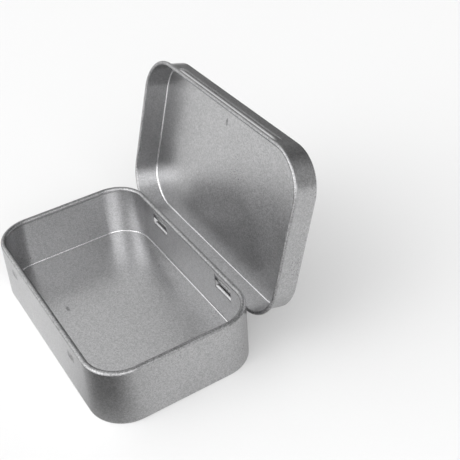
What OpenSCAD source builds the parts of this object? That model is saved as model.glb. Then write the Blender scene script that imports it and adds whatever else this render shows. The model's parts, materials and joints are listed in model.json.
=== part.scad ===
// Hinged metal tin: a drawn base and a drawn lid, both of thin tinplate.
// The base stands on the XY plane, centred on the origin, with its front wall towards -Y.
// The lid is drawn shut, then turned about its own bead to the open stop.

/* [Base] */
// Length of the base over its walls
base_l = 91; // [80:1:110]
// Width of the base over its walls
base_w = 56; // [46:1:70]
// Height of the base from the table to the top of its rim
base_h = 21.5; // [17:0.5:30]
// Radius of the four upright corners, over the walls
corner_r = 12.5; // [8:0.5:18]
// Outside radius of the bend between wall and floor
base_bend_r = 0.8; // [0.6:0.1:2.4]
// Radius of the curl that is rolled inwards along the rim
rim_r = 0.95; // [0.5:0.05:1.1]

/* [Lid] */
// Height of the lid from the underside of its bead to its top face
lid_h = 9.4; // [7.5:0.1:12]
// Outside radius of the bend between skirt and panel
lid_bend_r = 0.8; // [0.6:0.1:2.4]
// Radius of the bead that is rolled outwards along the skirt
bead_r = 0.7; // [0.5:0.05:0.9]
// Least clearance between the front wall and the skirt as the lid swings
lid_play = 0.08; // [0.04:0.02:0.4]
// Gap between the rim and the panel when the lid is shut
seat_gap = 0.1; // [0.04:0.02:0.4]
// Angle from shut to the open stop, in degrees
open_angle = 104.5; // [95:0.5:110]

/* [Sheet] */
// Thickness of the tinplate
sheet = 0.28; // [0.2:0.02:0.34]
// How far round the rim curl and the bead are rolled, in degrees
curl_sweep = 290; // [240:5:295]

/* [Hinge] */
// Distance of each hinge from the middle of the back wall
hinge_x = 22.1; // [14:0.5:26]
// Width of each tongue that is bent out of the back wall
tongue_w = 9.6; // [5:0.2:12]
// Gap beside a tongue, to the side of its window and of its slot
tongue_gap = 0.3; // [0.2:0.05:0.6]
// Radius of the bend where a tongue leaves the back wall
tongue_bend_r = 0.8; // [0.4:0.05:0.9]
// How far the tongue's loop lies below the pin axis, and as far outwards
loop_slack = 0.26; // [0.16:0.02:0.34]
// Clearance between the bead and the flat end of the tongue over it
pin_play = 0.08; // [0.05:0.01:0.12]
// Height from the top of a window to the top of the rim
window_drop = 4.7; // [3:0.1:7]

/* [Catch] */
// Distance of each bump from the middle of the front wall
bump_x = 23.8; // [12:0.1:28]
// Height from the middle of a bump to the top of the rim
bump_drop = 5.4; // [4:0.1:6]
// Length of a bump
bump_l = 5.2; // [3:0.2:6]
// Height of a bump up the wall
bump_h = 3; // [1.4:0.1:3.2]
// How far a bump stands out of the wall
bump_rise = 0.4; // [0.2:0.02:0.42]
// Length of the ridge along the front of the lid
ridge_l = 61; // [40:1:64]
// Length over which each end of the ridge fades out
ridge_fade = 4; // [3:0.5:12]
// Height of the ridge up the skirt
ridge_h = 2.8; // [1.6:0.1:3]
// How far the ridge stands out of the skirt
ridge_rise = 0.5; // [0.3:0.05:0.6]

/* [Hidden] */
$fn = 64;
// How far a cut runs past the faces that it opens
overrun = 0.5;
// Height of the strip of skirt that stays on the bead under a slot
slot_sill = 0.1;
// How far a slot reaches past the outer face of the skirt
slot_past = 0.05;
// Clearance between a slot and its tongue at the open stop
stop_play = 0.01;
// Step that the gap between wall and skirt is rounded to
gap_step = 0.01;
// Gap between wall and skirt, wide enough for the front skirt to swing past the rim
lap = lid_h - sheet - seat_gap - bead_r - rim_r;
swing_in = base_w - sqrt(base_w * base_w - lap * lap);
lid_gap = gap_step * round((lid_play + swing_in) / gap_step);
// Lid over its skirt
lid_l = base_l + 2 * (lid_gap + sheet);
lid_w = base_w + 2 * (lid_gap + sheet);
lid_corner_r = corner_r + lid_gap + sheet;
// Height of the underside of the bead when the lid is shut
lid_z = base_h + seat_gap + sheet - lid_h;
// Pin axis, which is the middle of the bead along the back
pin_y = lid_w / 2 - sheet + bead_r;
pin_z = lid_z + bead_r;
// Loop of the tongue around the bead
loop_r = bead_r + pin_play + loop_slack + sheet;
// Straight run of the tongue under the bead, and its flat end over the bead
tongue_run = lid_gap + bead_r + loop_slack - tongue_bend_r;
tongue_end = bead_r + loop_slack;
// Height at which a tongue leaves the back wall, at the sill of its window
root_z = pin_z - loop_slack - loop_r - tongue_bend_r;
window_w = tongue_w + 2 * tongue_gap;
window_h = base_h - window_drop - root_z;
// Top of a slot above the pin axis: its edge lands on the loop at the open stop
loop_reach = loop_slack + sqrt(loop_r * loop_r - loop_slack * loop_slack);
slot_rise = sqrt(pow(loop_reach + stop_play, 2) - pow(bead_r - sheet, 2));
bump_z = base_h - bump_drop;

// Radius of a circle that stands out by rise over a chord of the given height
function swell_r(height, rise) = (height * height / 4 + rise * rise) / (2 * rise);

// Sheet bent round an arc of outer radius r, from the angle start over the angle sweep
module arc_strip(r, start, sweep) {
    steps = ceil(sweep / 60);
    intersection() {
        difference() {
            circle(r);
            circle(r - sheet);
        }
        polygon(concat([[0, 0]], [for (i = [0:steps])
            2 * r * [cos(start + i * sweep / steps), sin(start + i * sweep / steps)]]));
    }
}

// Outline with rounded corners, centred in X and standing on Y = 0
module round_hole(w, h, r) {
    translate([r - w / 2, 0]) square([w - 2 * r, h]);
    translate([-w / 2, r]) square([w, h - 2 * r]);
    for (x = [r - w / 2, w / 2 - r], y = [r, h - r])
        translate([x, y]) circle(r);
}

// Section of a pan, swept round its corners and along its walls, with its flat panel
module pan(run_x, run_y, panel_z) {
    for (i = [0:3]) {
        out = i % 2 == 0 ? run_x / 2 : run_y / 2;
        run = i % 2 == 0 ? run_y : run_x;
        rotate(90 * i) translate([out, run / 2, 0]) {
            rotate([90, 0, 0]) linear_extrude(run) children();
            rotate_extrude(angle = 90) children();
        }
    }
    translate([-run_x / 2, -run_y / 2, panel_z]) cube([run_x, run_y, sheet]);
}

// Long round swelling along X, of radius r, which narrows to end_r at each end
module swelling(r, end_r, length, fade) {
    rotate([0, 90, 0]) rotate_extrude() polygon([
        [0, -length / 2], [end_r, -length / 2], [r, fade - length / 2],
        [r, length / 2 - fade], [end_r, length / 2], [0, length / 2]]);
}

// Swelling pressed outwards in a wall that faces -Y, with its outer face at Y = 0
module pressed_out(length, height, rise, fade) {
    r = swell_r(height, rise);
    intersection() {
        translate([0, r - rise, 0]) swelling(r, r - rise, length, fade);
        translate([-length / 2, -rise, -height / 2]) cube([length, rise + sheet / 2, height]);
    }
}

// The hollow behind it, one sheet thickness further in
module pressed_hollow(length, height, rise, fade) {
    r = swell_r(height, rise);
    translate([0, r - rise, 0]) swelling(r - sheet, r - rise - sheet, length, fade);
}

// Section of the base from the corner axis outwards
module base_section() {
    square([corner_r - base_bend_r, sheet]);
    translate([corner_r - base_bend_r, base_bend_r]) arc_strip(base_bend_r, 270, 90);
    translate([corner_r - sheet, base_bend_r]) square([sheet, base_h - rim_r - base_bend_r]);
    translate([corner_r - rim_r, base_h - rim_r]) arc_strip(rim_r, 0, curl_sweep);
}

// Section of the lid from the corner axis outwards, with the bead's underside at 0
module lid_section() {
    translate([0, lid_h - sheet]) square([lid_corner_r - lid_bend_r, sheet]);
    translate([lid_corner_r - lid_bend_r, lid_h - lid_bend_r]) arc_strip(lid_bend_r, 0, 90);
    translate([lid_corner_r - sheet, bead_r]) square([sheet, lid_h - lid_bend_r - bead_r]);
    translate([lid_corner_r - sheet + bead_r, bead_r]) arc_strip(bead_r, 180, curl_sweep);
}

// Tongue from the sill of its window, under the bead, round it and into the slot
module tongue() {
    translate([-tongue_w / 2, base_w / 2 + tongue_bend_r, root_z])
        rotate([90, 0, 90]) linear_extrude(tongue_w) {
            arc_strip(tongue_bend_r + sheet, 90, 90);
            translate([0, tongue_bend_r]) square([tongue_run, sheet]);
            translate([tongue_run, tongue_bend_r + loop_r]) arc_strip(loop_r, 270, 180);
            translate([tongue_run - tongue_end, tongue_bend_r + 2 * loop_r - sheet])
                square([tongue_end, sheet]);
        }
}

// Window that a tongue is bent out of
module window_cut() {
    translate([0, base_w / 2 + overrun, root_z]) rotate([90, 0, 0])
        linear_extrude(sheet + 2 * overrun) round_hole(window_w, window_h, tongue_gap);
}

// Slot in the back skirt that the end of a tongue passes through, measured on the shut lid
module slot_cut() {
    translate([-window_w / 2, lid_w / 2 - sheet - overrun, bead_r + slot_sill])
        cube([window_w, sheet + overrun + slot_past, slot_rise - slot_sill]);
}

// The lid standing on its bead, before it is put on the base
module lid_pan() {
    difference() {
        union() {
            pan(lid_l - 2 * lid_corner_r, lid_w - 2 * lid_corner_r, lid_h - sheet) lid_section();
            translate([0, -lid_w / 2, bump_z - lid_z])
                pressed_out(ridge_l, ridge_h, ridge_rise, ridge_fade);
        }
        translate([0, -lid_w / 2, bump_z - lid_z])
            pressed_hollow(ridge_l, ridge_h, ridge_rise, ridge_fade);
        for (x = [-hinge_x, hinge_x])
            translate([x, 0, 0]) slot_cut();
    }
}

module base() {
    color("silver") {
        difference() {
            union() {
                pan(base_l - 2 * corner_r, base_w - 2 * corner_r, 0) base_section();
                for (x = [-bump_x, bump_x])
                    translate([x, -base_w / 2, bump_z])
                        pressed_out(bump_l, bump_h, bump_rise, bump_l / 4);
            }
            for (x = [-bump_x, bump_x])
                translate([x, -base_w / 2, bump_z])
                    pressed_hollow(bump_l, bump_h, bump_rise, bump_l / 4);
            for (x = [-hinge_x, hinge_x])
                translate([x, 0, 0]) window_cut();
        }
        for (x = [-hinge_x, hinge_x])
            translate([x, 0, 0]) tongue();
    }
}

module lid() {
    color("gainsboro")
        translate([0, pin_y, pin_z]) rotate([-open_angle, 0, 0])
            translate([0, -pin_y, -bead_r]) lid_pan();
}

base();
lid();
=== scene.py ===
import json
import math
from collections import namedtuple

import bmesh
import bpy
from mathutils import Matrix, Vector


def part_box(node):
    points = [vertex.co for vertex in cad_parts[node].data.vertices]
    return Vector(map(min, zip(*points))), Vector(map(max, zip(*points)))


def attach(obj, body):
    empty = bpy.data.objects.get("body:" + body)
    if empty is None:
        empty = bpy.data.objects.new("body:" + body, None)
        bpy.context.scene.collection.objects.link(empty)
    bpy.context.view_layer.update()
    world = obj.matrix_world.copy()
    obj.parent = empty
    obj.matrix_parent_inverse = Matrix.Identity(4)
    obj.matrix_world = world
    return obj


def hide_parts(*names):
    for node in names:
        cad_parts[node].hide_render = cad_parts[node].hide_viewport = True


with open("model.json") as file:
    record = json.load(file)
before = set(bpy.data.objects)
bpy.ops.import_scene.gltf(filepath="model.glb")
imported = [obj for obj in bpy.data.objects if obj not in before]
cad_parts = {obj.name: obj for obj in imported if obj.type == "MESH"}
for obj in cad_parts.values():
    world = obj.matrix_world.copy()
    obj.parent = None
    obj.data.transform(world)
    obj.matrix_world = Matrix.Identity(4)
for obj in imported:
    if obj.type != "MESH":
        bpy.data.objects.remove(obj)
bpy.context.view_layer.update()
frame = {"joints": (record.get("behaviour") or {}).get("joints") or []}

bl_info = {
    "name": "Hinged metal tin",
    "version": (1, 0, 0),
    "blender": (4, 5, 0),
    "location": "View3D > Sidebar > Tin",
    "description": "Draws a plain tinplate tin with a hinged lid, and the stage it stands on",
    "category": "Object",
}

BASE_LOW, BASE_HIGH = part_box("base")
HINGE = next(j for j in frame["joints"] if j["name"] == "lid_hinge")
PIN = Vector(HINGE["pos_m"])
OPEN_ANGLE = math.radians(HINGE["range_deg"][1] - HINGE["range_deg"][0])
BUMP_RISE = 0.0004
BASE_HALF_W = -BASE_LOW.y - BUMP_RISE

ALONG = (1, 0, 0)
UPRIGHT = (0, 0, 1)
QUARTER_TURN = math.pi / 2

# Distances in metres: to a plane that a point lies on, to the edge of a patch,
# between points on one straight line, and between points that are merged
NEAR = 1e-5
SNUG = 1e-6
SAME = 1e-7
DOUBLES = 2e-6

# Faces round each bend, rim, bead, tongue loop and window corner
BEND_STEPS = 8
RIM_STEPS = 28
BEAD_STEPS = 24
LOOP_STEPS = 20
WINDOW_CORNER_STEPS = 6

# Each patch that a form is pressed out of: its half length and half height as shares
# of the form's length and height, and the cuts along it and up it
Patch = namedtuple("Patch", "half_l half_h columns rows")
BUMP_PATCH = Patch(0.65, 0.7, 25, 15)
RIDGE_PATCH = Patch(0.52, 0.7, 127, 15)
# Share of its rise that a form is pressed to, which keeps its tip inside the CAD box
PRESSED_SHARE = 0.98
# Fullness of a pressed form: 2 is a plain round back, more is flatter with steeper edges
ROUND_BACK = 2.0
FLAT_BACK = 2.6

# Radius of a window's corners, depth of the cutter that opens it, and how much deeper
# than the sheet the cutter of a slot is
WINDOW_CORNER = 0.0003
WINDOW_DEPTH = 0.001
SLOT_PLAY = 0.0001
# A window's sill faces up at least this much, and ends this near to the back wall
SILL_UP = 0.99
SILL_END = 1e-4

# Depth of the strip along the front that holds the pressed forms
FRONT_STRIP = 0.0012
# Reach of the painted shade and dullness round a roll, in radii, and how fast they grow with the
# slope
ROLL_REACH = 1.1
ROLL_GROWTH = 2.0
SMOOTH_ANGLE = math.radians(40)

# Mean of a noise, and how much each mark changes the tone and the roughness of the sheet; the
# bend's lighter tone is a painted highlight and the roll's darker tone is painted shade
MEAN = 0.5
TONE = {"sparkle": 0.38, "clouds": 0.12, "bend": 0.35, "roll": 0.38, "spot": 0.5}
ROUGH = {"sparkle": 0.06, "clouds": 0.12, "bend": 0.12, "roll": 0.1}
# Ripples per width of a grain, height of the ripples, and soft clouds per metre
RIPPLE_SHARE = 0.5
RIPPLE_RISE = 0.00002
CLOUDS_PER_METRE = 60.0

# A small darker spot: its middle, its half sizes, and the way that its face looks
Spot = namedtuple("Spot", "at size up")
BASE_SPOT = Spot((-0.0143, -0.0149, 0.0003), (0.0022, 0.0008, 0.001), UPRIGHT)
LID_SPOT = Spot(
    (-0.0052, 0.0495, 0.0577), (0.0008, 0.0012, 0.0021),
    (0, -math.sin(OPEN_ANGLE), -math.cos(OPEN_ANGLE)),
)
# A spot's darkening starts at its edge, is full at this share of its size, and ends within the
# sheet
SPOT_EDGE, SPOT_FULL = 1.0, 0.3
SPOT_FOOT, SPOT_HEAD = -0.0002, -0.0001

FLOOR_SIZE = 4.0
FLOOR_ROUGHNESS = 0.8
# Tone of the paper between its teeth, how much lighter they are, and how fine they are
PAPER_TONE, TOOTH_TONE, TOOTH_SCALE = 0.99, 0.02, 900.0
# How much more of the floor's glow the camera sees than the metal does
CAMERA_GLOW = 1.45

# Even light of the sky, and its soft lights: brightness, tightness, azimuth, elevation
SKY_EVEN = 0.08
SKY_LIGHTS = (
    (6.6, 2.9, 267, -53), (2.4, 10, 270, 20), (1.8, 10, 270, 50), (0.85, 10, 210, 20),
    (0.5, 10, 210, 50), (0.85, 10, 174, 48), (0.9, 10, 0, 20), (0.35, 10, 55, 30),
    (1.15, 10, 330, 20), (1.2, 20, 350, 62),
)
# Square lamps: name, azimuth, elevation and watts
LAMPS = (("left window", 260, 40, 14.0), ("right window", 348, 34, 35.0))
LAMP_DISTANCE = 3.2
LAMP_SIZE = 2.2

# The camera's own axes, its shift, its sensor in millimetres and its nearest reach
CAMERA_RIGHT = Vector((0.53039, 0.84587, -0.05658))
CAMERA_UP = Vector((-0.44087, 0.33222, 0.83383))
CAMERA_SHIFT_Y = -0.1304
SENSOR_WIDTH = 36.0
CLIP_START = 0.01

# Dark card, painted shade that only the metal sees: bearing of its middle, and the angles
# to each side at which it starts to fade and ends, in degrees
CARD_MIDDLE, CARD_FULL, CARD_SPREAD = -64, 12, 100
CARD_LIFT = 0.0003
CARD_REACH = 0.1
CARD_STEPS = 28
# Distance from the corner's axis at which it starts to fade outwards
CARD_FADE = 0.045
# How dark it is, how much less so beside the wall, and over which distance that grows
CARD_DARK, CARD_THIN, CARD_THIN_RUN = 0.96, 0.42, 0.008
CARD_COLOUR = (0.02, 0.02, 0.02, 1.0)
CARD_ROUGHNESS = 0.9

# Section of a pan. The middles of its bend and of its roll are given by their distance
# from the axis of an upright corner and their height
Pan = namedtuple("Pan", "half_x half_y panel_z bend roll roll_r")


def length(name, description, default):
    """A length in metres, with its name, description and default"""
    return bpy.props.FloatProperty(
        name=name, description=description, default=default, min=0.0, precision=5,
        subtype="DISTANCE", unit="LENGTH",
    )


class TinSheetSizes(bpy.types.PropertyGroup):
    """Sizes that the base and the lid share"""

    sheet: length("Sheet", "Thickness of the tinplate", 0.00028)
    bend: length("Bend", "Outside radius of the bend between wall and panel", 0.0008)
    curl_sweep: bpy.props.FloatProperty(
        name="Curl sweep", description="How far round the rim and the bead are rolled",
        default=math.radians(290), subtype="ANGLE", unit="ROTATION",
    )
    corner_steps: bpy.props.IntProperty(
        name="Corner steps", description="Faces round each upright corner", default=32, min=4
    )
    hinge_x: length("Hinge distance", "Distance of each hinge from the middle of the back", 0.0221)
    window_w: length("Window width", "Width of each window and slot", 0.0102)
    tongue_w: length("Tongue width", "Width of each hinge tongue", 0.0096)


class TinBaseSizes(bpy.types.PropertyGroup):
    """Sizes of the base"""

    long: length("Length", "Length over the walls", BASE_HIGH.x - BASE_LOW.x)
    wide: length("Width", "Width over the walls", 2 * BASE_HALF_W)
    high: length("Height", "Height from the table to the top of the rim", BASE_HIGH.z)
    corner: length("Corner radius", "Radius of the upright corners over the walls", 0.0125)
    rim: length("Rim", "Radius of the curl that is rolled inwards along the rim", 0.00095)
    root_z: length("Tongue root", "Height of the window sill, where a tongue starts", 0.0108)
    window_top: length("Window top", "Height of the top of each window", 0.0168)
    tongue_bend: length("Tongue bend", "Inside radius of the tongue's first bend", 0.0008)
    loop: length("Tongue loop", "Outside radius of the tongue's loop round the bead", 0.00132)
    tongue_run: length("Tongue run", "Straight run of the tongue under the bead", 0.00073)
    bump_x: length("Bump distance", "Distance of each bump from the middle of the front", 0.0238)
    bump_z: length("Bump height", "Height of the middle of the bumps", 0.0161)
    bump_l: length("Bump length", "Length of a bump", 0.0052)
    bump_h: length("Bump width", "Height of a bump up the wall", 0.003)
    bump_rise: length("Bump rise", "How far a bump stands out", BUMP_RISE)


class TinLidSizes(bpy.types.PropertyGroup):
    """Sizes of the lid"""

    long: length("Length", "Length over the skirt", 0.09269)
    wide: length("Width", "Width over the skirt", 0.05769)
    high: length("Height", "Height from the underside of the bead to the top", 0.0094)
    corner: length("Corner radius", "Radius of the upright corners over the skirt", 0.01335)
    bead: length("Bead", "Radius of the bead that is rolled outwards along the skirt", 0.0007)
    slot_low: length(
        "Slot foot", "Height of the foot of each slot over the bead's underside", 0.0008
    )
    slot_rise: length("Slot rise", "Height of the top of each slot over the pin axis", 0.00151)
    ridge_z: length("Ridge height", "Height of the ridge over the bead's underside", 0.00362)
    ridge_l: length("Ridge length", "Length of the ridge along the front", 0.061)
    ridge_fade: length("Ridge fade", "Length over which each end of the ridge fades", 0.004)
    ridge_h: length("Ridge width", "Height of the ridge up the skirt", 0.0028)
    ridge_rise: length("Ridge rise", "How far the ridge stands out", 0.0005)


class TinplateFinish(bpy.types.PropertyGroup):
    """Look of the satin tinplate"""

    grey: bpy.props.FloatVectorProperty(
        name="Tinplate", description="Colour of the bare tinplate", size=3,
        default=(0.445, 0.445, 0.45), min=0.0, max=1.0, subtype="COLOR",
    )
    gloss: bpy.props.FloatProperty(
        name="Roughness", description="Mean roughness of the satin sheet",
        default=0.32, min=0.0, max=1.0, subtype="FACTOR",
    )
    grain: length("Grain", "Width of one grain of the satin", 0.00034)


class TinStageSizes(bpy.types.PropertyGroup):
    """Floor and camera"""

    lens: bpy.props.FloatProperty(
        name="Lens", description="Focal length of the camera, in millimetres",
        default=70.565, min=10.0,
    )
    camera_at: bpy.props.FloatVectorProperty(
        name="Camera place", description="Where the camera stands", size=3,
        default=(0.224323, -0.082886, 0.212207), subtype="TRANSLATION", unit="LENGTH",
    )
    floor: bpy.props.FloatVectorProperty(
        name="Floor", description="Colour of the floor", size=3,
        default=(0.57, 0.57, 0.57), min=0.0, max=1.0, subtype="COLOR",
    )
    glow: bpy.props.FloatProperty(
        name="Floor glow", description="White that the metal sees over the lit floor",
        default=0.13, min=0.0, max=1.0, subtype="FACTOR",
    )


def bearing(azimuth, elevation):
    """Direction at these angles in degrees, the azimuth anticlockwise from +X"""
    a, e = math.radians(azimuth), math.radians(elevation)
    return Vector((math.cos(e) * math.cos(a), math.cos(e) * math.sin(a), math.sin(e)))


def dome(distance, fullness):
    """Height, from 1 to 0, of a pressed form at this share of its half width"""
    return max(0.0, 1.0 - distance ** fullness)


def faces_where(obj, test, kind="FACE"):
    """Selects, in edit mode, only the parts of the mesh that the test names"""
    bpy.ops.mesh.select_mode(type=kind)
    bpy.ops.mesh.select_all(action="DESELECT")
    mesh = bmesh.from_edit_mesh(obj.data)
    parts = {"VERT": mesh.verts, "EDGE": mesh.edges, "FACE": mesh.faces}[kind]
    found = [part for part in parts if test(part)]
    for part in found:
        part.select_set(True)
    mesh.select_flush_mode()
    bmesh.update_edit_mesh(obj.data)
    if not found:
        raise RuntimeError(f"nothing was found to select on {obj.name}")


def new_point(name, place):
    """Starts a piece as one point in edit mode"""
    if bpy.context.object and bpy.context.object.mode != "OBJECT":
        bpy.ops.object.mode_set(mode="OBJECT")
    bpy.ops.object.select_all(action="DESELECT")
    bpy.ops.mesh.primitive_plane_add(size=0.001)
    piece = bpy.context.object
    piece.name = piece.data.name = name
    bpy.ops.object.mode_set(mode="EDIT")
    bpy.ops.mesh.select_mode(type="VERT")
    bpy.ops.mesh.select_all(action="SELECT")
    bpy.ops.mesh.merge(type="CENTER")
    bpy.ops.transform.translate(value=place)
    return piece


def extend(x, y, z):
    """Extrudes what is selected in a straight line"""
    bpy.ops.mesh.extrude_region_move(TRANSFORM_OT_translate={"value": (x, y, z)})


def turn(centre, axis, angle, steps):
    """Extrudes what is selected round an axis, anticlockwise as seen from the axis's tip"""
    bpy.ops.mesh.spin(steps=steps, angle=-angle, center=centre, axis=axis)


def sweep_round(half_x, half_y, steps):
    """Carries the selected section, which looks towards -Y, round a box with round corners"""
    bpy.ops.mesh.select_all(action="SELECT")
    corners = [(half_x, -half_y), (half_x, half_y), (-half_x, half_y), (-half_x, -half_y)]
    for i, (x, y) in enumerate(corners):
        before = corners[i - 1]
        extend(x - before[0], y - before[1], 0)
        turn((x, y, 0), UPRIGHT, QUARTER_TURN, steps)
    bpy.ops.mesh.select_all(action="SELECT")
    bpy.ops.mesh.remove_doubles(threshold=DOUBLES)


def close_panel(piece, half_x, half_y, z):
    """Fills the flat rectangle that the sweep leaves open"""
    faces_where(
        piece,
        lambda v: (
            abs(v.co.x) < half_x + NEAR and abs(v.co.y) < half_y + NEAR
            and abs(v.co.z - z) < NEAR
        ),
        "VERT",
    )
    bpy.ops.mesh.edge_face_add()
    bpy.ops.mesh.select_all(action="SELECT")
    bpy.ops.mesh.normals_make_consistent(inside=False)


def bend_way(pan):
    """1 where the bend lies over the roll, as on the lid, and -1 where it lies under it"""
    return 1 if pan.bend[1] > pan.roll[1] else -1


def draw_pan(name, tin, pan, roll_steps):
    """Draws the section from the panel over the bend and the wall to the roll, and sweeps it"""
    bend_out, bend_z = pan.bend
    roll_out, roll_z = pan.roll
    piece = new_point(name, (-pan.half_x, -pan.half_y, pan.panel_z))
    extend(0, -bend_out, 0)
    bend_centre = (-pan.half_x, -pan.half_y - bend_out, bend_z)
    turn(bend_centre, ALONG, bend_way(pan) * QUARTER_TURN, BEND_STEPS)
    extend(0, 0, roll_z - bend_z)
    turn((-pan.half_x, -pan.half_y - roll_out, roll_z), ALONG, -tin.curl_sweep, roll_steps)
    sweep_round(pan.half_x, pan.half_y, tin.corner_steps)
    close_panel(piece, pan.half_x, pan.half_y, pan.panel_z)
    return piece


def split_off_patch(piece, x, z, form_l, form_h, front_y, patch):
    """Cuts a patch out of the flat front wall and divides it into a fine grid

    Returns the test for the points that lie in it.
    """
    low = Vector((x - form_l * patch.half_l, 0, z - form_h * patch.half_h))
    high = Vector((x + form_l * patch.half_l, 0, z + form_h * patch.half_h))

    def holds_patch(face):
        xs = [v.co.x for v in face.verts]
        zs = [v.co.z for v in face.verts]
        return (
            abs(face.calc_center_median().y - front_y) < NEAR
            and min(xs) < low.x + SNUG and max(xs) > high.x - SNUG
            and min(zs) < low.z + SNUG and max(zs) > high.z - SNUG
        )

    def inside(v):
        return (
            low.x - SNUG < v.co.x < high.x + SNUG and low.z - SNUG < v.co.z < high.z + SNUG
            and abs(v.co.y - front_y) < NEAR
        )

    def runs(edge, way, across):
        start, end = (v.co for v in edge.verts)
        return (
            all(inside(v) for v in edge.verts)
            and abs(getattr(start, way) - getattr(end, way)) > NEAR
            and abs(getattr(start, across) - getattr(end, across)) < SAME
        )

    for place, way in (
        ((low.x, 0, 0), ALONG), ((high.x, 0, 0), ALONG),
        ((0, 0, low.z), UPRIGHT), ((0, 0, high.z), UPRIGHT),
    ):
        faces_where(piece, holds_patch)
        bpy.ops.mesh.bisect(plane_co=place, plane_no=way, threshold=SAME)
    for cuts, way, across in ((patch.columns, "x", "z"), (patch.rows, "z", "x")):
        faces_where(piece, lambda edge: runs(edge, way, across), "EDGE")
        bpy.ops.mesh.subdivide(number_cuts=cuts)
    return inside


def press_out(piece, name, height, rise, inside):
    """Moves the points of a patch of the front wall outwards by height(x, z), a share of rise"""
    bpy.ops.object.mode_set(mode="OBJECT")
    group = piece.vertex_groups.new(name=name)
    for v in piece.data.vertices:
        if inside(v):
            share = height(v.co.x, v.co.z)
            if share > 0:
                group.add([v.index], share, "REPLACE")
    press = piece.modifiers.new(name, "DISPLACE")
    press.direction = "Y"
    press.mid_level = 0.0
    press.strength = -rise * PRESSED_SHARE
    press.vertex_group = name
    bpy.ops.object.modifier_apply(modifier=press.name)
    piece.vertex_groups.remove(piece.vertex_groups[name])
    bpy.ops.object.mode_set(mode="EDIT")


def thicken(piece, sheet):
    """Gives the drawn surface the thickness of the sheet, half of it on each side"""
    bpy.ops.object.mode_set(mode="OBJECT")
    wall = piece.modifiers.new("Sheet", "SOLIDIFY")
    wall.thickness = sheet
    wall.offset = 0.0
    wall.use_even_offset = True
    bpy.ops.object.modifier_apply(modifier=wall.name)


def cut_window(piece, x, y, low, high, wide, deep, corner):
    """Cuts a rectangle through the back wall, with round corners unless their radius is 0"""
    bpy.ops.object.select_all(action="DESELECT")
    bpy.ops.mesh.primitive_cube_add(size=1.0)
    cutter = bpy.context.object
    bpy.ops.object.mode_set(mode="EDIT")
    bpy.ops.transform.resize(value=(wide, deep, high - low))
    bpy.ops.transform.translate(value=(x, y, (low + high) / 2))
    if corner:
        faces_where(
            cutter, lambda e: abs(e.verts[0].co.y - e.verts[1].co.y) > deep / 2, "EDGE"
        )
        bpy.ops.mesh.bevel(offset=corner, segments=WINDOW_CORNER_STEPS, affect="EDGES")
    bpy.ops.object.mode_set(mode="OBJECT")
    bpy.ops.object.select_all(action="DESELECT")
    bpy.context.view_layer.objects.active = piece
    piece.select_set(True)
    cut = piece.modifiers.new("Window", "BOOLEAN")
    cut.operation = "DIFFERENCE"
    cut.solver = "EXACT"
    cut.object = cutter
    bpy.ops.object.modifier_apply(modifier=cut.name)
    bpy.data.objects.remove(cutter)


def mark_worked_sheet(piece, pan, pressed):
    """Notes on each point where the sheet gets a painted highlight and where it gets painted shade

    The sharp bend is lighter, a painted highlight, and smoother; the side of the roll away from
    the bend is darker, painted shade, and rougher. What is pressed out of the front is given by
    pressed(x, z), which returns both.
    """
    bends = piece.data.attributes.new("bend", "FLOAT", "POINT")
    dull_and_painted_shade = piece.data.attributes.new("roll", "FLOAT", "POINT")
    bend_out, bend_z = pan.bend
    roll_out, roll_z = pan.roll
    way = bend_way(pan)
    front = min(v.co.y for v in piece.data.vertices) + FRONT_STRIP
    for v in piece.data.vertices:
        # What is pressed out of the front gets a painted highlight or painted shade, as pressed(x,
        # z) gives
        if v.co.y < front and abs(v.co.x) < pan.half_x:
            bends.data[v.index].value, dull_and_painted_shade.data[v.index].value = pressed(v.co.x, v.co.z)
        out = math.hypot(max(abs(v.co.x) - pan.half_x, 0), max(abs(v.co.y) - pan.half_y, 0))
        # The sharp bend gets a painted highlight and less roughness
        bent = math.atan2(out - bend_out, (v.co.z - bend_z) * way)
        if 0 < bent < QUARTER_TURN:
            bends.data[v.index].value = math.sin(2 * bent)
        # The roll's side away from the bend gets painted shade and more roughness
        from_roll = math.hypot(out - roll_out, v.co.z - roll_z)
        if from_roll < pan.roll_r * ROLL_REACH:
            level = (v.co.z - roll_z) / from_roll * -way
            dull_and_painted_shade.data[v.index].value = min(1.0, max(0.0, level * ROLL_GROWTH))


def finish_shading(piece):
    """Shades the bends smooth and keeps flat sheet flat"""
    bpy.ops.object.mode_set(mode="OBJECT")
    bpy.ops.object.shade_smooth_by_angle(angle=SMOOTH_ANGLE)
    even = piece.modifiers.new("Flat sheet", "WEIGHTED_NORMAL")
    even.keep_sharp = True
    even.weight = 100
    bpy.ops.object.modifier_apply(modifier=even.name)


class Channel:
    """A socket in a material, on which sums can be written as on a number"""

    def __init__(self, finish, socket):
        self.finish = finish
        self.socket = socket

    def _with(self, operation, *values):
        made = self.finish.add(
            "ShaderNodeMath", {"operation": operation}, dict(enumerate(values))
        )
        return made["Value"]

    def __add__(self, other):
        return self._with("ADD", self, other)

    def __radd__(self, other):
        return self._with("ADD", other, self)

    def __sub__(self, other):
        return self._with("SUBTRACT", self, other)

    def __rsub__(self, other):
        return self._with("SUBTRACT", other, self)

    def __mul__(self, other):
        return self._with("MULTIPLY", self, other)

    def __rmul__(self, other):
        return self._with("MULTIPLY", other, self)

    def exp(self):
        return self._with("EXPONENT", self)

    def acos(self):
        return self._with("ARCCOSINE", self)


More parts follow.
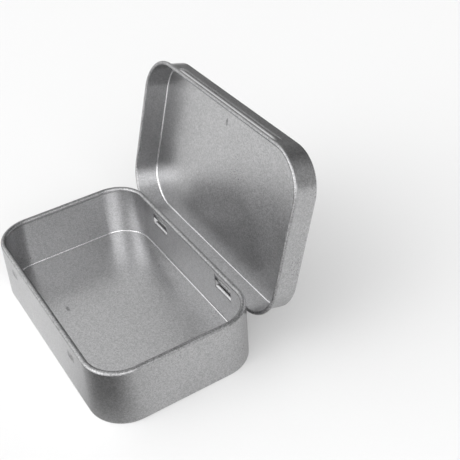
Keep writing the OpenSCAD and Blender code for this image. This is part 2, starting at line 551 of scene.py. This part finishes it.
class Finish:
    """The nodes of a material or a world, each of which comes from its method add"""

    def __init__(self, owner):
        self.owner = owner
        owner.use_nodes = True
        self.tree = owner.node_tree
        self.tree.nodes.clear()

    def add(self, kind, settings=None, values=None):
        """Adds a node, sets it, gives its sockets values or links, and returns its outputs"""
        node = self.tree.nodes.new(kind)
        for name, value in (settings or {}).items():
            setattr(node, name, value)
        for name, value in (values or {}).items():
            if isinstance(value, Channel):
                self.tree.links.new(value.socket, node.inputs[name])
            else:
                node.inputs[name].default_value = value
        return {out.name: Channel(self, out) for out in node.outputs if out.enabled}

    def vector(self, operation, **values):
        """Adds a Vector Math node on its sockets a and b or scale, and returns its one output"""
        sockets = {"a": 0, "b": 1, "scale": "Scale"}
        made = self.add(
            "ShaderNodeVectorMath", {"operation": operation},
            {sockets[name]: value for name, value in values.items()},
        )
        return next(iter(made.values()))

    def between(self, value, start, end, kind="SMOOTHSTEP"):
        """Grows from 0 to 1 as the value goes from the start to the end"""
        return self.add(
            "ShaderNodeMapRange", {"interpolation_type": kind},
            {"Value": value, "From Min": start, "From Max": end},
        )["Result"]

    def surface(self, sockets):
        """Adds the shader with these sockets and the output, and returns the material"""
        shader = self.add("ShaderNodeBsdfPrincipled", {}, sockets)["BSDF"]
        self.add("ShaderNodeOutputMaterial", {}, {"Surface": shader})
        return self.owner


def tinplate(name, look, spot):
    """Satin tinplate: fine sparkling grain over soft clouds, a painted highlight on the bends,
    painted shade on the roll and the bumps, and one small darker spot in its face
    """
    finish = Finish(bpy.data.materials.new(name))
    place = finish.add("ShaderNodeTexCoord")["Object"]
    grain = finish.add(
        "ShaderNodeTexVoronoi", {"voronoi_dimensions": "3D", "feature": "F1"},
        {"Vector": place, "Scale": 1 / look.grain, "Randomness": 1.0},
    )["Color"]
    sparkle = finish.add("ShaderNodeSeparateColor", {}, {"Color": grain})["Red"] - MEAN
    ripple = finish.add(
        "ShaderNodeTexNoise", {"noise_dimensions": "3D"},
        {"Vector": place, "Scale": RIPPLE_SHARE / look.grain, "Detail": 2.0, "Roughness": 0.7},
    )["Fac"]
    clouds = finish.add(
        "ShaderNodeTexNoise", {"noise_dimensions": "3D"},
        {"Vector": place, "Scale": CLOUDS_PER_METRE, "Detail": 3.0, "Roughness": 0.5},
    )["Fac"] - MEAN
    # A small spot, darker in tone, in the sheet's face
    beside = finish.vector("SUBTRACT", a=place, b=spot.at)
    above = finish.vector("DOT_PRODUCT", a=beside, b=spot.up)
    away = finish.vector("LENGTH", a=finish.vector("DIVIDE", a=beside, b=spot.size))
    spot_darkening = finish.between(away, SPOT_EDGE, SPOT_FULL) * finish.between(
        above, SPOT_FOOT, SPOT_HEAD, "LINEAR"
    )
    bend = finish.add("ShaderNodeAttribute", {"attribute_name": "bend"})["Fac"]
    roll = finish.add("ShaderNodeAttribute", {"attribute_name": "roll"})["Fac"]
    # The bends and the ridge's slopes are lighter in tone, a painted highlight; the roll and the
    # bumps are darker, painted shade
    tone = (
        1.0 + sparkle * (1.0 - bend) * TONE["sparkle"] + clouds * TONE["clouds"]
        + bend * TONE["bend"] - roll * TONE["roll"] - spot_darkening * TONE["spot"]
    )
    rough = (
        look.gloss + sparkle * ROUGH["sparkle"] + clouds * ROUGH["clouds"]
        - bend * ROUGH["bend"] + roll * ROUGH["roll"]
    )
    bump = finish.add(
        "ShaderNodeBump", {}, {"Height": ripple, "Distance": RIPPLE_RISE, "Strength": 1.0}
    )["Normal"]
    grey = finish.vector("SCALE", a=look.grey, scale=tone)
    return finish.surface(
        {"Base Color": grey, "Metallic": 1.0, "Roughness": rough, "Normal": bump}
    )


def dress(piece, material, body):
    """Gives a finished piece its material and fixes it to its body"""
    piece.data.materials.clear()
    piece.data.materials.append(material)
    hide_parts(body)
    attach(piece, body)


class TIN_OT_base(bpy.types.Operator):
    """Draws the base: pan, rim curl, catch bumps, windows and hinge tongues"""

    bl_idname = "tin.base"
    bl_label = "Base of the tin"

    def execute(self, context):
        scene = context.scene
        tin, size = scene.tin_sheet, scene.tin_base
        mid = tin.sheet / 2
        pan = Pan(
            half_x=size.long / 2 - size.corner, half_y=size.wide / 2 - size.corner,
            panel_z=mid, bend=(size.corner - tin.bend, tin.bend),
            roll=(size.corner - size.rim, size.high - size.rim), roll_r=size.rim,
        )
        piece = draw_pan("tin_base", tin, pan, RIM_STEPS)
        patches = [
            split_off_patch(
                piece, x, size.bump_z, size.bump_l, size.bump_h, mid - size.wide / 2, BUMP_PATCH
            )
            for x in (-size.bump_x, size.bump_x)
        ]

        def swell(x, z):
            along = abs(abs(x) - size.bump_x) / (size.bump_l / 2)
            up = abs(z - size.bump_z) / (size.bump_h / 2)
            return dome(along, FLAT_BACK) * dome(up, ROUND_BACK)

        press_out(
            piece, "bumps", swell, size.bump_rise, lambda v: any(holds(v) for holds in patches)
        )
        thicken(piece, tin.sheet)
        for x in (-tin.hinge_x, tin.hinge_x):
            cut_window(
                piece, x, size.wide / 2 - mid, size.root_z, size.window_top, tin.window_w,
                WINDOW_DEPTH, WINDOW_CORNER,
            )
            self.bend_tongue(piece, x, tin, size)
        # The bumps get the roll mark: painted shade and more roughness
        mark_worked_sheet(piece, pan, lambda x, z: (0.0, swell(x, z)))
        finish_shading(piece)
        dress(piece, tinplate("base tinplate", scene.tin_finish, BASE_SPOT), "base")
        return {"FINISHED"}

    def bend_tongue(self, piece, x, tin, size):
        """Draws one tongue out of the sill of its window, under the bead and over it"""
        back = size.wide / 2
        bpy.ops.object.mode_set(mode="EDIT")

        def sill(face, half_w):
            middle = face.calc_center_median()
            return (
                face.normal.z > SILL_UP and abs(middle.z - size.root_z) < NEAR
                and abs(middle.x - x) < half_w
                and back - 2 * tin.sheet < middle.y < back + SILL_END
            )

        for side in (-1, 1):
            faces_where(piece, lambda face: sill(face, tin.window_w / 2))
            bpy.ops.mesh.bisect(
                plane_co=(x + side * tin.tongue_w / 2, 0, 0), plane_no=ALONG, threshold=SAME
            )
        faces_where(piece, lambda face: sill(face, tin.tongue_w / 4))
        centre_y = back + size.tongue_bend
        turn((x, centre_y, size.root_z), ALONG, -QUARTER_TURN, BEND_STEPS)
        extend(0, size.tongue_run, 0)
        loop_z = size.root_z + size.tongue_bend + size.loop
        turn((x, centre_y + size.tongue_run, loop_z), ALONG, math.pi, LOOP_STEPS)
        extend(0, -size.tongue_run, 0)
        bpy.ops.object.mode_set(mode="OBJECT")


class TIN_OT_lid(bpy.types.Operator):
    """Draws the lid: pan, bead, slots and catch ridge, opened to its stop"""

    bl_idname = "tin.lid"
    bl_label = "Lid of the tin"

    def execute(self, context):
        scene = context.scene
        tin, size = scene.tin_sheet, scene.tin_lid
        mid = tin.sheet / 2
        pan = Pan(
            half_x=size.long / 2 - size.corner, half_y=size.wide / 2 - size.corner,
            panel_z=size.high - mid, bend=(size.corner - tin.bend, size.high - tin.bend),
            roll=(size.corner - tin.sheet + size.bead, size.bead), roll_r=size.bead,
        )
        piece = draw_pan("tin_lid", tin, pan, BEAD_STEPS)
        inside = split_off_patch(
            piece, 0, size.ridge_z, size.ridge_l, size.ridge_h, mid - size.wide / 2, RIDGE_PATCH
        )

        def swell(x, z):
            past = max(0.0, abs(x) - (size.ridge_l / 2 - size.ridge_fade)) / size.ridge_fade
            up = abs(z - size.ridge_z) / (size.ridge_h / 2)
            return dome(past, FLAT_BACK) * dome(up, FLAT_BACK)

        press_out(piece, "ridge", swell, size.ridge_rise, inside)
        thicken(piece, tin.sheet)
        for x in (-tin.hinge_x, tin.hinge_x):
            cut_window(
                piece, x, size.wide / 2 - mid, size.slot_low, size.bead + size.slot_rise,
                tin.window_w, tin.sheet + SLOT_PLAY, 0,
            )
        # The ridge's slopes get the bend mark: a painted highlight and less roughness
        mark_worked_sheet(piece, pan, lambda x, z: (4 * swell(x, z) * (1 - swell(x, z)), 0.0))
        self.open_lid(tin, size)
        finish_shading(piece)
        dress(piece, tinplate("lid tinplate", scene.tin_finish, LID_SPOT), "lid")
        return {"FINISHED"}

    def open_lid(self, tin, size):
        """Puts the shut lid's bead on the pin axis and turns it to the open stop"""
        bpy.ops.object.mode_set(mode="EDIT")
        bpy.ops.mesh.select_all(action="SELECT")
        pin_on_lid = Vector((0, size.wide / 2 - tin.sheet + size.bead, size.bead))
        bpy.ops.transform.translate(value=PIN - pin_on_lid)
        bpy.ops.transform.rotate(
            value=OPEN_ANGLE, orient_axis="X", orient_type="GLOBAL", center_override=PIN
        )


class TIN_OT_stage(bpy.types.Operator):
    """Lays the floor, hangs the soft lights and sets up the camera"""

    bl_idname = "tin.stage"
    bl_label = "Stage for the tin"

    def execute(self, context):
        scene = context.scene
        self.floor(scene.tin_stage)
        self.sky(scene)
        for name, azimuth, elevation, power in LAMPS:
            self.lamp(scene, name, bearing(azimuth, elevation) * LAMP_DISTANCE, power)
        self.painted_shade_card(scene.tin_base)
        self.camera(scene, scene.tin_stage)
        scene.view_settings.view_transform = "Standard"
        return {"FINISHED"}

    def floor(self, look):
        """Lays pale paper, with a glow that only the camera, metal and glass see"""
        bpy.ops.object.select_all(action="DESELECT")
        bpy.ops.mesh.primitive_plane_add(size=FLOOR_SIZE)
        floor = bpy.context.object
        floor.name = "floor"
        paper = Finish(bpy.data.materials.new("pale paper"))
        place = paper.add("ShaderNodeTexCoord")["Object"]
        tooth = paper.add(
            "ShaderNodeTexNoise", {}, {"Vector": place, "Scale": TOOTH_SCALE, "Detail": 2.0}
        )["Fac"]
        shade = paper.vector("SCALE", a=look.floor, scale=PAPER_TONE + tooth * TOOTH_TONE)
        ray = paper.add("ShaderNodeLightPath")
        seen = (
            ray["Is Camera Ray"] * CAMERA_GLOW + ray["Is Glossy Ray"]
            + ray["Is Transmission Ray"]
        )
        glow = paper.vector("SCALE", a=(look.glow,) * 3, scale=seen)
        floor.data.materials.append(paper.surface({
            "Base Color": shade, "Roughness": FLOOR_ROUGHNESS,
            "Emission Color": glow, "Emission Strength": 1.0,
        }))

    def sky(self, scene):
        """Fills the room with even light and a few broad soft lights"""
        scene.world = bpy.data.worlds.new("studio")
        room = Finish(scene.world)
        way = room.add("ShaderNodeTexCoord")["Generated"]
        light = SKY_EVEN
        for bright, tight, azimuth, elevation in SKY_LIGHTS:
            near = room.vector("DOT_PRODUCT", a=way, b=bearing(azimuth, elevation))
            light = light + ((near - 1.0) * tight).exp() * bright
        sky = room.add(
            "ShaderNodeBackground", {}, {"Color": (1.0, 1.0, 1.0, 1.0), "Strength": light}
        )["Background"]
        room.add("ShaderNodeOutputWorld", {}, {"Surface": sky})

    def lamp(self, scene, name, place, power):
        """Hangs one square soft lamp that looks at the tin"""
        data = bpy.data.lights.new(name, "AREA")
        data.shape = "SQUARE"
        data.size = LAMP_SIZE
        data.energy = power
        lamp = bpy.data.objects.new(name, data)
        scene.collection.objects.link(lamp)
        lamp.location = place
        lamp.rotation_euler = place.to_track_quat("Z", "Y").to_euler()
        lamp.visible_camera = False

    def painted_shade_card(self, base):
        """Lays a graded dark card before the front corner, painted shade that only the metal sees
        """
        corner = Vector((base.long / 2 - base.corner, base.corner - base.wide / 2, CARD_LIFT))
        first = bearing(CARD_MIDDLE - CARD_SPREAD, 0)
        card = new_point("painted shade card", corner + first * base.corner)
        extend(*(first * CARD_REACH))
        bpy.ops.mesh.select_all(action="SELECT")
        turn(corner, UPRIGHT, math.radians(2 * CARD_SPREAD), CARD_STEPS)
        bpy.ops.object.mode_set(mode="OBJECT")
        black = Finish(bpy.data.materials.new("painted shade card"))
        place = black.add("ShaderNodeTexCoord")["Object"]
        from_corner = black.vector("SUBTRACT", a=place, b=corner)
        away = black.vector("LENGTH", a=from_corner)
        way = black.vector("NORMALIZE", a=from_corner)
        aside = black.vector("DOT_PRODUCT", a=way, b=bearing(CARD_MIDDLE, 0)).acos()
        fan = black.between(aside, math.radians(CARD_SPREAD), math.radians(CARD_FULL))
        thin = ((base.corner - away) * (1 / CARD_THIN_RUN)).exp()
        near = black.between(away, CARD_REACH, CARD_FADE)
        # The card's darkness is painted shade: full ahead of the corner, and lighter beside the
        # wall
        dark = fan * near * (CARD_DARK - thin * CARD_THIN)
        card.data.materials.append(black.surface(
            {"Base Color": CARD_COLOUR, "Roughness": CARD_ROUGHNESS, "Alpha": dark}
        ))
        card.visible_camera = card.visible_diffuse = card.visible_shadow = False

    def camera(self, scene, look):
        """Sets the camera at the photograph's viewing angle"""
        data = bpy.data.cameras.new("view")
        camera = bpy.data.objects.new("view", data)
        scene.collection.objects.link(camera)
        back = CAMERA_RIGHT.cross(CAMERA_UP)
        turned = Matrix((CAMERA_RIGHT, CAMERA_UP, back)).transposed().to_4x4()
        camera.matrix_world = Matrix.Translation(look.camera_at) @ turned
        data.sensor_width = SENSOR_WIDTH
        data.lens = look.lens
        data.shift_y = CAMERA_SHIFT_Y
        data.clip_start = CLIP_START
        scene.camera = camera


class TIN_PT_panel(bpy.types.Panel):
    """Lists the tin's pieces and their sizes"""

    bl_idname = "TIN_PT_panel"
    bl_label = "Hinged metal tin"
    bl_space_type = "VIEW_3D"
    bl_region_type = "UI"
    bl_category = "Tin"

    def draw(self, context):
        for name, operator in (
            ("tin_sheet", None), ("tin_base", "tin.base"), ("tin_lid", "tin.lid"),
            ("tin_finish", None), ("tin_stage", "tin.stage"),
        ):
            group = getattr(context.scene, name)
            box = self.layout.box()
            for prop in group.__annotations__:
                box.prop(group, prop)
            if operator:
                box.operator(operator)


GROUPS = {
    "tin_sheet": TinSheetSizes,
    "tin_base": TinBaseSizes,
    "tin_lid": TinLidSizes,
    "tin_finish": TinplateFinish,
    "tin_stage": TinStageSizes,
}
CLASSES = (*GROUPS.values(), TIN_OT_base, TIN_OT_lid, TIN_OT_stage, TIN_PT_panel)


def register():
    for cls in CLASSES:
        bpy.utils.register_class(cls)
    for name, group in GROUPS.items():
        setattr(bpy.types.Scene, name, bpy.props.PointerProperty(type=group))


def unregister():
    for name in GROUPS:
        delattr(bpy.types.Scene, name)
    for cls in reversed(CLASSES):
        bpy.utils.unregister_class(cls)


def main():
    register()
    bpy.ops.tin.base()
    bpy.ops.tin.lid()
    bpy.ops.tin.stage()


if __name__ == "__main__":
    main()
